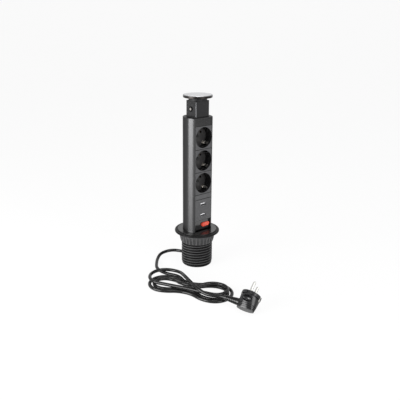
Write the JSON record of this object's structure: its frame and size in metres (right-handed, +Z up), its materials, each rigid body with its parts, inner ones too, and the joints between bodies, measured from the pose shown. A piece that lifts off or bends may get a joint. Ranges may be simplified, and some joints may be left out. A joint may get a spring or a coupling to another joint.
{
  "type": "pop-up desk socket tower",
  "caption": "Round tower of earthed mains sockets, USB slots and a lit rocker switch that slides through a threaded desk sleeve; with mains lead, hank and angled plug.",
  "frame": {"origin": "centre of the sleeve's lower end, on the surface that the sleeve stands on", "axes": "+Z up along the tower; the sockets face -Y; the lead leaves towards +Y; +X is right when facing the sockets"},
  "size_m": [0.1824, 0.2818, 0.3271],
  "materials": {
    "case_black": "satin",
    "black_plastic": "fine matt moulded",
    "gloss_black": "gloss moulded",
    "lid_silver": "satin",
    "steel": "bright zinc",
    "contact_metal": "nickel plated",
    "brass": "bare",
    "red_lens": "gloss translucent",
    "usb_white": "gloss",
    "board": "solder mask",
    "grey_rubber": "matt",
    "cord_black": "satin jacket"
  },
  "bodies": {
    "sleeve": {"mounting_sleeve": "black_plastic", "guide_collar": "black_plastic", "flange_gasket": "grey_rubber"},
    "washer": {"clamp_washer": "grey_rubber"},
    "nut": {"clamp_nut": "black_plastic"},
    "tower": {"tower_shell": "case_black", "bottom_end_cap": "black_plastic", "end_cap_screws": "steel", "top_end_cap": "black_plastic", "neck_block": "black_plastic", "button_bush": "contact_metal", "button_spring": "steel", "spring_seat": "black_plastic", "lid_rim": "lid_silver", "lid_disc": "lid_silver", "lid_stem": "black_plastic", "lid_screw": "steel", "top_plate": "gloss_black", "filler_strip": "gloss_black", "usb_faceplate": "gloss_black", "usb_port_lower": "steel", "usb_port_upper": "steel", "usb_tongue_lower": "usb_white", "usb_tongue_upper": "usb_white", "usb_circuit_board": "board", "switch_panel": "gloss_black", "switch_housing": "black_plastic", "switch_terminals": "brass", "rocker_pin": "steel", "live_busbar": "brass", "neutral_busbar": "brass", "earth_busbar": "brass", "socket_screws": "steel", "cord_clamp": "black_plastic", "lead_boot": "cord_black", "cord_lead": "cord_black", "cord_hank": "cord_black", "cord_tail": "cord_black", "plug_body": "cord_black", "plug_pins": "contact_metal", "plug_strain_relief": "cord_black", "plug_earth_strips": "contact_metal", "socket_lower": "gloss_black", "earth_clips_lower": "contact_metal", "contact_carrier_lower": "black_plastic", "socket_middle": "gloss_black", "earth_clips_middle": "contact_metal", "contact_carrier_middle": "black_plastic", "socket_upper": "gloss_black", "earth_clips_upper": "contact_metal", "contact_carrier_upper": "black_plastic"},
    "button": {"release_button": "contact_metal"},
    "rocker": {"rocker": "red_lens"}
  },
  "joints": [
    {"name": "tower_lift", "type": "slide", "parent": "sleeve", "child": "tower", "axis": [0, 0, 1], "range_m": [-0.2512, 0]},
    {"name": "washer_lift", "type": "slide", "parent": "sleeve", "child": "washer", "axis": [0, 0, 1], "range_m": [-0.026, 0]},
    {"name": "nut_turn", "type": "hinge", "parent": "washer", "child": "nut", "pos_m": [0, 0, 0.055], "axis": [0, 0, 1], "range_deg": [-1810, 0]},
    {"name": "button_press", "type": "slide", "parent": "tower", "child": "button", "axis": [1, 0, 0], "range_m": [0, 0.0022], "stiffness_N_per_m": 400, "deforming": ["button_spring"]},
    {"name": "rocker_tip", "type": "hinge", "parent": "tower", "child": "rocker", "pos_m": [0.0079, -0.011, 0.0816], "axis": [0, 0, 1], "range_deg": [-12, 0]}
  ],
  "couplings": [
    {"joint": "nut_turn", "follows": "washer_lift", "rad_per_m": 1208.3}
  ]
}
